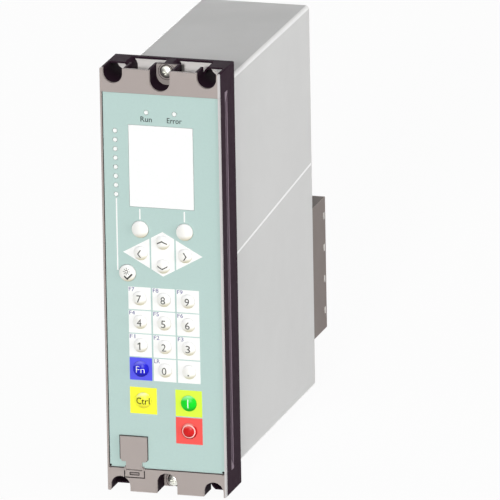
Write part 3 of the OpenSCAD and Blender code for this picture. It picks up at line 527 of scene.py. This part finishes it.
lead_w = 0.8
alarm_lead_x, alarm_lead_top, alarm_lead_low = -28.6, 51.6, 6.5
soft_lead_z, soft_lead_h = 42.5, 6.6
alarm_lead_z, alarm_lead_h = (alarm_lead_top + alarm_lead_low) / 2, alarm_lead_top - alarm_lead_low
rectangle(white, alarm_lead_x, alarm_lead_z, lead_w, alarm_lead_h)
for key in ("soft_key_left", "soft_key_right"):
    rectangle(white, key_place(key)[0], soft_lead_z, lead_w, soft_lead_h)
printed("white_fields", [ink_mesh(white)], foil_y, film("white_ink", print_white))

control_w, switching_w, field_h = 17.0, 16.8, 16.7
coloured_fields = (
    ("function_field", "key_function", print_blue, 0, cell, cell),
    ("control_field", "key_control", print_yellow, -0.2, control_w, field_h),
    ("close_field", "key_close", print_lime, -0.1, switching_w, field_h),
    ("open_field", "key_open", print_red, 0, switching_w, field_h),
)
for name, key, colour, shift, w, h in coloured_fields:
    curve = flat_curve(name)
    x, z, _ = key_place(key)
    rectangle(curve, x, z + shift, w, h)
    key_hole(curve, key)
    printed(name, [ink_mesh(curve)], foil_y, film(name + "_ink", colour))

# Joints of the front: dark lines along the foil's lower and left edges, with round reliefs at its lower
# corners, around the anchor clip pressed into the bottom strip and in its slot, and around the screws. Each
# is a flat dark strip on the plastic or the foil: a real narrow gap with painted shade drawn wider than it,
# and painted shade only on the foil's left edge and on the seat faces.
gap_shade_black = (44, 40, 42)
gap_t, gap_w, gap_drop = 0.02, 0.45, 0.1
relief_r = 0.75
gap_shade = moulded("gap_shade", gap_shade_black, roughness=0.7, grain=2200, grain_relief=0.05, drift=0.05,
                    shine=0.05)


def dark_gap(curve, y):
    """Piece of painted shade that shows the gaps of a flat curve at a depth."""
    printed(curve.name, [ink_mesh(curve, gap_t)], y, gap_shade)


plate_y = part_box("front_plate")[0].y
foil_low, foil_high = (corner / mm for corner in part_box("keypad_foil"))
clip_low, clip_high = (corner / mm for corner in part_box("flap_anchor"))
clip_gap, clip_side_h = 0.65, 4.2
clip_x, clip_z, clip_w = (clip_low.x + clip_high.x) / 2, clip_low.z, clip_high.x - clip_low.x
inner, outer = clip_w / 2, clip_w / 2 + clip_gap
strip_gaps = flat_curve("strip_gaps")
for start, end in ((foil_low.x, clip_low.x - clip_gap), (clip_high.x + clip_gap, foil_high.x)):
    rectangle(strip_gaps, (start + end) / 2, foil_low.z - gap_drop - gap_w / 2, end - start, gap_w)
closed_line(strip_gaps, [(clip_x + x, clip_z + z) for x, z in (
    (-outer, -clip_gap), (outer, -clip_gap), (outer, clip_side_h), (inner, clip_side_h),
    (inner, 0), (-inner, 0), (-inner, clip_side_h), (-outer, clip_side_h))])
dark_gap(strip_gaps, plate_y)

# Painted shade only: a dark strip on the foil along its left edge.
foil_edge_shade = flat_curve("foil_edge_shade")
rectangle(foil_edge_shade, foil_low.x + gap_w / 2, 0, gap_w, foil_high.z - foil_low.z)
dark_gap(foil_edge_shade, foil_y)

slot_w, slot_h, slot_up, slot_line = 6.2, 2.0, 2.1, 0.45
clip_slot = flat_curve("clip_slot")
for inset in (0, slot_line):
    rectangle(clip_slot, clip_x, clip_z + slot_up, slot_w - 2 * inset, slot_h - 2 * inset)
dark_gap(clip_slot, plate_y)

strip_reliefs = flat_curve("strip_reliefs")
for side in (foil_low.x + relief_r, foil_high.x - relief_r):
    closed_circle(strip_reliefs, side, foil_low.z + relief_r, relief_r)
dark_gap(strip_reliefs, foil_y)

# Painted shade: dark rings on each seat, one in the groove around the screw and one on the seat's face.
groove_ring = (0.22, 0.88, 0.8)
outer_ring = (1.6, 1.9, 0.0)
seat_trim = 0.05
seat_y, seat_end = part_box("screw_seats")[0].y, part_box("screw_seats")[1].z - seat_trim * mm
screw_r, screw_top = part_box("front_screws")[1].x / mm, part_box("front_screws")[1].z / mm
ring_meshes = []
for ring_in, ring_out, ring_depth in (groove_ring, outer_ring):
    curve = flat_curve("seat_ring")
    for side in (-1, 1):
        for reach in (ring_in, ring_out):
            closed_circle(curve, 0, side * (screw_top - screw_r), screw_r + reach)
    mesh = ink_mesh(curve, gap_t)
    mesh.transform(Matrix.Translation((0, ring_depth * mm, 0)))
    bm = joined([mesh])
    for side in (-1, 1):
        cut = bmesh.ops.bisect_plane(bm, geom=bm.verts[:] + bm.edges[:] + bm.faces[:], clear_outer=True,
                                     plane_co=(0, 0, side * seat_end), plane_no=(0, 0, side))
        ends = [e for e in cut["geom_cut"] if isinstance(e, bmesh.types.BMEdge)]
        bmesh.ops.holes_fill(bm, edges=ends)
    bm.to_mesh(mesh)
    bm.free()
    ring_meshes.append(mesh)
printed("seat_rings", ring_meshes, seat_y, gap_shade)

# Legends on the foil: the names of the two status lamps in grey, and a small blue second function
# in the corner of each number cell. All are screen printed, the blue ones over the white cells.
legend_grey = (66, 74, 74)
legend_blue = (92, 92, 148)


def lettering(words, w, h, x=0, z=0, weight=0.0):
    """Ink mesh of a legend around its middle, of a given width, height and stroke weight."""
    text = bpy.data.curves.new("legend_" + words, "FONT")
    text.body = words
    text.size = h * mm
    text.offset = weight * h * mm
    text.resolution_u = 3
    mesh = ink_mesh(text)
    spread = [[v.co[axis] for v in mesh.vertices] for axis in (0, 2)]
    low = [min(values) for values in spread]
    size = [max(values) - least for values, least in zip(spread, low)]
    mesh.transform(Matrix.Translation((x * mm, 0, z * mm))
                   @ Matrix.Diagonal((w * mm / size[0], 1, h * mm / size[1], 1))
                   @ Matrix.Translation((-low[0] - size[0] / 2, 0, -low[1] - size[1] / 2)))
    return mesh


status_x, status_z, status_h = 8.85, 102.3, 3.3
status_words = (("Run", 7.2, -status_x), ("Error", 9.4, status_x))
printed("lamp_legends", [lettering(words, w, status_h, x, status_z, weight=0.01)
                         for words, w, x in status_words], foil_y, film("grey_ink", legend_grey))
corner_w, corner_h, corner_in, corner_down = 3.5, 2.5, 0.4, 0.3
corner_words = [(f"key_{n}", f"F{n}") for n in range(1, 10)] + [("key_0", "LR")]
corner_meshes = []
for key, words in corner_words:
    x, z, _ = key_place(key)
    corner_meshes.append(lettering(words, corner_w, corner_h, x - cell / 2 + corner_in + corner_w / 2,
                                   z + cell / 2 - corner_down - corner_h / 2))
white_y = foil_y - ink_t * mm + ink_sink * mm
printed("corner_legends", corner_meshes, white_y, film("blue_ink", legend_blue))

# Display: a clear window over a white reflective panel, flush with the foil.
# Its edge is wider behind the front plate, which holds it against the display module.
panel_white = (250, 251, 250)
window = film("display_panel", panel_white, roughness=0.25)
window_shader = window.node_tree.nodes["Principled BSDF"]
window_shader.inputs["Coat Weight"].default_value = 0.3
window_shader.inputs["Coat Roughness"].default_value = 0.08
dress(window, "display_window")

# Lamps: the milky pins of two light guides, flush with the foil.
# Each guide is one plastic moulding, a bar behind the front plate with a pin through each lamp hole.
lens_white = (246, 250, 247)
dress(film("lamp_lens", lens_white, roughness=0.3), "status_light_guide", "alarm_light_guide")

# Keys: domed caps moulded in translucent plastic, each on its own plunger behind the plate. The upper left
# of a dome has a painted highlight and its lower right painted shade, set by the slope of the dome.
# The upper left of a dome looks paler and its lower right deeper, as light passes through its thin rim.
# Each entry: the key's own colour, the painted shade of its low side and the painted highlight of its upper
# side.
key_colours = {
    "key_function": ((20, 20, 205), (8, 8, 150), (135, 135, 250)),
    "key_control": (print_yellow, (226, 214, 60), (255, 255, 205)),
    "key_close": ((6, 222, 36), (0, 168, 22), (176, 255, 180)),
    "key_open": ((214, 24, 24), (158, 8, 8), (255, 158, 150)),
}
key_white = ((250, 249, 244), (214, 207, 182), (255, 255, 255))
painted_light_side = Vector((-0.2, 0, 0.98))
painted_shade_lean, painted_highlight_lean = (-0.22, -0.55), (0.28, 0.6)


def key_gloss(name, colours):
    """Key plastic in its own colour, with painted shade on the low side of the dome and a painted highlight
    above.
    """
    own, shade_colour, highlight_colour = colours
    material = moulded(name, own, roughness=0.35, grain=1200, grain_relief=0.02, drift=0.01, shine=0.25)
    tree = material.node_tree
    geometry = tree.nodes.new("ShaderNodeNewGeometry")
    lean = tree.nodes.new("ShaderNodeVectorMath")
    lean.operation = "DOT_PRODUCT"
    lean.inputs[1].default_value = painted_light_side
    tree.links.new(geometry.outputs["Normal"], lean.inputs[0])
    for (start, end), colour in ((painted_shade_lean, shade_colour), (painted_highlight_lean, highlight_colour)):
        recolour(tree, between(tree, lean.outputs["Value"], 0, 1, start, end), colour)
    return material


white_keys = [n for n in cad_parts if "key_" in n and n not in key_colours]
dress(key_gloss("white_key", key_white), *white_keys)
for key, colours in key_colours.items():
    dress(key_gloss(key + "_cap", colours), key)

# Key legends: printed on the crowns, so they follow the dome and move with the key.
# Digits, arrows and signs are dark, the control legend is brown, and the function and switching
# legends are white or pale pink.
crown_h = 1.7
key_ink_dark = (70, 70, 68)
key_ink_black = (48, 46, 44)
key_ink_white = (250, 250, 250)
key_ink_brown = (66, 60, 10)
key_ink_pink = (255, 205, 200)
sliver, facet, facet_passes = 0.03, 0.6, 3
steepest = 0.9


def crown_print(key, meshes, ink):
    """Lays ink meshes, made around the origin, on the crown of a key."""
    x, z, r = key_place(key)
    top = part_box(key)[0].y
    ball = (r * r + crown_h * crown_h) / (2 * crown_h) * mm
    bm = joined(meshes)
    bmesh.ops.dissolve_degenerate(bm, dist=sliver * mm, edges=bm.edges)
    bmesh.ops.triangulate(bm, faces=bm.faces)
    for _ in range(facet_passes):
        long_edges = [e for e in bm.edges if e.calc_length() > facet * mm]
        bmesh.ops.subdivide_edges(bm, edges=long_edges, cuts=1)
        bmesh.ops.triangulate(bm, faces=bm.faces)
    for v in bm.verts:
        reach = min(v.co.x ** 2 + v.co.z ** 2, ball * ball * steepest)
        v.co.y += top + ink_sink * mm + ball - math.sqrt(ball * ball - reach)
    bmesh.ops.translate(bm, verts=bm.verts, vec=(x * mm, 0, z * mm))
    bmesh.ops.recalc_face_normals(bm, faces=bm.faces)
    add_piece(key + "_legend", bm, ink, key)


dark_ink = film("dark_key_ink", key_ink_dark)
black_ink = film("black_key_ink", key_ink_black)
white_key_ink = film("white_key_ink", key_ink_white)
digit_w, digit_h = 2.9, 4.6
one = flat_curve("one_sign")
closed_line(one, [(0.5, -2.3), (0.5, 2.3), (-0.1, 2.3), (-1.2, 1.6), (-1.2, 0.9), (-0.2, 1.4), (-0.2, -2.3)])
crown_print("key_1", [ink_mesh(one)], dark_ink)
for n in (0, 2, 3, 4, 5, 6, 7, 8, 9):
    crown_print(f"key_{n}", [lettering(str(n), digit_w, digit_h)], dark_ink)
point_w, point_z = 0.9, -1.6
point = flat_curve("point_sign")
rectangle(point, 0, point_z, point_w, point_w)
crown_print("key_point", [ink_mesh(point)], black_ink)
crown_print("key_function", [lettering("Fn", w=5.4, h=4.0, weight=-0.012)], white_key_ink)
brown_ink = film("brown_key_ink", key_ink_brown)
crown_print("key_control", [lettering("Ctrl", w=8.4, h=4.2, weight=0.01)], brown_ink)

arrow_h, arrow_stroke = 1.7, 0.75
upright_half, sideways_half = 3.2, 2.4
arrow_turns = (("key_up", 0, upright_half), ("key_left", 90, sideways_half),
               ("key_down", 180, upright_half), ("key_right", 270, sideways_half))
for key, turn, half in arrow_turns:
    curve = flat_curve("arrow_" + key)
    foot, tip = -arrow_h / 2, arrow_h / 2
    closed_line(curve, [(-half, foot), (0, tip), (half, foot), (half, foot + arrow_stroke),
                        (0, tip + arrow_stroke), (-half, foot + arrow_stroke)])
    mesh = ink_mesh(curve)
    mesh.transform(Matrix.Rotation(-math.radians(turn), 4, "Y"))
    crown_print(key, [mesh], black_ink)

bulb_x, bulb_z, bulb_r, bulb_hole = -0.2, 1.3, 1.0, 0.65
ray_count, ray_out, ray_w, ray_h = 8, 1.75, 0.3, 0.9
bulb = flat_curve("lamp_sign")
for r in (bulb_r, bulb_hole):
    closed_circle(bulb, bulb_x, bulb_z, r)
sign_meshes = [ink_mesh(bulb)]
for ray in range(ray_count):
    curve = flat_curve("lamp_ray")
    rectangle(curve, 0, ray_out, ray_w, ray_h)
    mesh = ink_mesh(curve)
    mesh.transform(Matrix.Translation((bulb_x * mm, 0, bulb_z * mm))
                   @ Matrix.Rotation(ray * 2 * math.pi / ray_count, 4, "Y"))
    sign_meshes.append(mesh)
tick = flat_curve("check_mark")
closed_line(tick, [(-1.9, -1.9), (0.2, -4.1), (3.7, -0.5), (3.0, 0.2), (0.2, -2.75), (-1.2, -1.2)])
crown_print("key_acknowledge", sign_meshes + [ink_mesh(tick)], black_ink)

bar_w, bar_h, bar_z = 0.6, 5.4, 0.2
bar = flat_curve("close_sign")
rectangle(bar, 0, bar_z, bar_w, bar_h)
crown_print("key_close", [ink_mesh(bar)], white_key_ink)
ring_r, ring_hole = 4.2, 3.6
ring = flat_curve("open_sign")
for r in (ring_r, ring_hole):
    closed_circle(ring, 0, 0, r)
crown_print("key_open", [ink_mesh(ring)], film("pink_key_ink", key_ink_pink))

# Service flap: a taupe moulded cover on a strap that hinges on a steel pin in the anchor clip.
# Its lower corners are filled out to a small chamfer, and a thin dark strip of painted shade on its back
# shows around its edges.
flap_edge = 0.15
shade_out, shade_left, shade_w, shade_t = 0.4, 0.75, 1.6, 0.3
flap_h, flap_chamfer, corner_cut, corner_drop = 15.0, 2.5, 1.2, 0.8
flap_t, flap_gap, strap_half = 1.45, 0.15, 5.05
dress(bezel_plastic, "service_flap", "flap_anchor")
soften(flap_edge, "service_flap", "flap_anchor")
flap_low, flap_high = (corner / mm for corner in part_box("service_flap"))
flap_x, flap_half = (flap_low.x + flap_high.x) / 2, (flap_high.x - flap_low.x) / 2
left, right, top = flap_low.x - shade_left, flap_high.x + shade_out, flap_high.z + shade_out
foot = flap_high.z - flap_h
low = foot - corner_drop
corners = flat_curve("flap_corners")
for side in (-1, 1):
    closed_line(corners, [(flap_x + side * x, z) for x, z in (
        (flap_half, foot + flap_chamfer), (flap_half, low + corner_cut), (flap_half - corner_cut, low),
        (strap_half, low), (strap_half, foot), (flap_half - flap_chamfer, foot))])
corner_y = foil_y - (flap_gap + ink_sink) * mm
printed("flap_corners", [ink_mesh(corners, flap_t)], corner_y, bezel_plastic, "flap")
# Painted shade: a dark strip that shows around the flap's edges and moves with the flap.
flap_shade_outline = flat_curve("flap_edge_shade")
closed_line(flap_shade_outline, [(left, low + corner_cut), (left + corner_cut, low), (right - corner_cut, low),
                   (right, low + corner_cut), (right, top), (left, top)])
rectangle(flap_shade_outline, (left + right) / 2, (low + top) / 2, right - left - 2 * shade_w, top - low - 2 * shade_w)
printed("flap_edge_shade", [ink_mesh(flap_shade_outline, shade_t)], foil_y - flap_gap * mm, gap_shade, "flap")

# Studio: a pale matte floor under the bezel, a soft white surrounding, and lamps from the right, the front
# and the rear, the front one high enough to reach into the troughs.
floor_gap = 0.5 * mm
floor_half = 8
floor_pale = (0.95, 0.95, 0.95, 1)
floor_share = 0.95
surround_level = 0.33
lamps = (
    ("side_lamp", 2.33, 25, (0.97, -0.24, 0.0)),
    ("front_lamp", 1.68, 8, (0.1, -0.96, 0.26)),
    ("rear_lamp", 1.6, 25, (-0.5, 0.86, 0.0)),
)


def camera_sees(tree):
    """One for rays that show the background itself: camera, mirror and glass rays."""
    path = tree.nodes.new("ShaderNodeLightPath").outputs
    mirror_or_glass = calc(tree, "MAXIMUM", path["Is Glossy Ray"], path["Is Transmission Ray"])
    return calc(tree, "MAXIMUM", path["Is Camera Ray"], mirror_or_glass)


bm = bmesh.new()
bmesh.ops.create_grid(bm, x_segments=1, y_segments=1, size=floor_half)
bmesh.ops.translate(bm, verts=bm.verts, vec=(0, 0, cad_box[0].z - floor_gap))
floor_mesh = bpy.data.meshes.new("floor")
bm.to_mesh(floor_mesh)
bm.free()
floor = bpy.data.objects.new("floor", floor_mesh)
bpy.context.scene.collection.objects.link(floor)
floor_paint = bpy.data.materials.new("floor_paint")
floor_paint.use_nodes = True
tree = floor_paint.node_tree
matte = tree.nodes["Principled BSDF"]
matte.inputs["Base Color"].default_value = floor_pale
matte.inputs["Roughness"].default_value = 0.9
glow = tree.nodes.new("ShaderNodeEmission")
glow.inputs["Strength"].default_value = 1.0
blend = tree.nodes.new("ShaderNodeMixShader")
tree.links.new(calc(tree, "MULTIPLY", camera_sees(tree), floor_share), blend.inputs["Fac"])
tree.links.new(matte.outputs["BSDF"], blend.inputs[1])
tree.links.new(glow.outputs["Emission"], blend.inputs[2])
tree.links.new(blend.outputs["Shader"], tree.nodes["Material Output"].inputs["Surface"])
floor_mesh.materials.append(floor_paint)

world = bpy.data.worlds.new("surround")
world.use_nodes = True
bpy.context.scene.world = world
tree = world.node_tree
surround = tree.nodes["Background"]
surround.inputs["Color"].default_value = (1, 1, 1, 1)
level = between(tree, camera_sees(tree), surround_level, 1.0, start=0, end=1)
tree.links.new(level, surround.inputs["Strength"])

for name, lamp_level, spread, lamp_from in lamps:
    lamp = bpy.data.lights.new(name, "SUN")
    lamp.energy = lamp_level
    lamp.angle = math.radians(spread)
    lamp_object = bpy.data.objects.new(name, lamp)
    bpy.context.scene.collection.objects.link(lamp_object)
    lamp_object.rotation_euler = Vector(lamp_from).to_track_quat("Z", "Y").to_euler()

# Camera: a very long lens from the right and above, aimed beside the front so that the deep case
# runs off to the upper right as in the photograph.
lens = 1000
yaw, pitch, roll = math.radians(16.764), math.radians(16.415), math.radians(-1.008)
aim_right, aim_up, distance = 52.43 * mm, 20.24 * mm, 8.3794
camera_data = bpy.data.cameras.new("camera")
camera_data.lens = lens
camera = bpy.data.objects.new("camera", camera_data)
bpy.context.scene.collection.objects.link(camera)
turn = (Matrix.Rotation(yaw, 4, "Z") @ Matrix.Rotation(math.pi / 2 - pitch, 4, "X")
        @ Matrix.Rotation(roll, 4, "Z"))
right, up, back = (turn.col[i].to_3d() for i in range(3))
front_middle = Vector((0, plate_y, 0))
stand = front_middle + right * aim_right + up * aim_up + back * distance
camera.matrix_world = Matrix.Translation(stand) @ turn
bpy.context.scene.camera = camera
bpy.context.scene.view_settings.view_transform = "Standard"
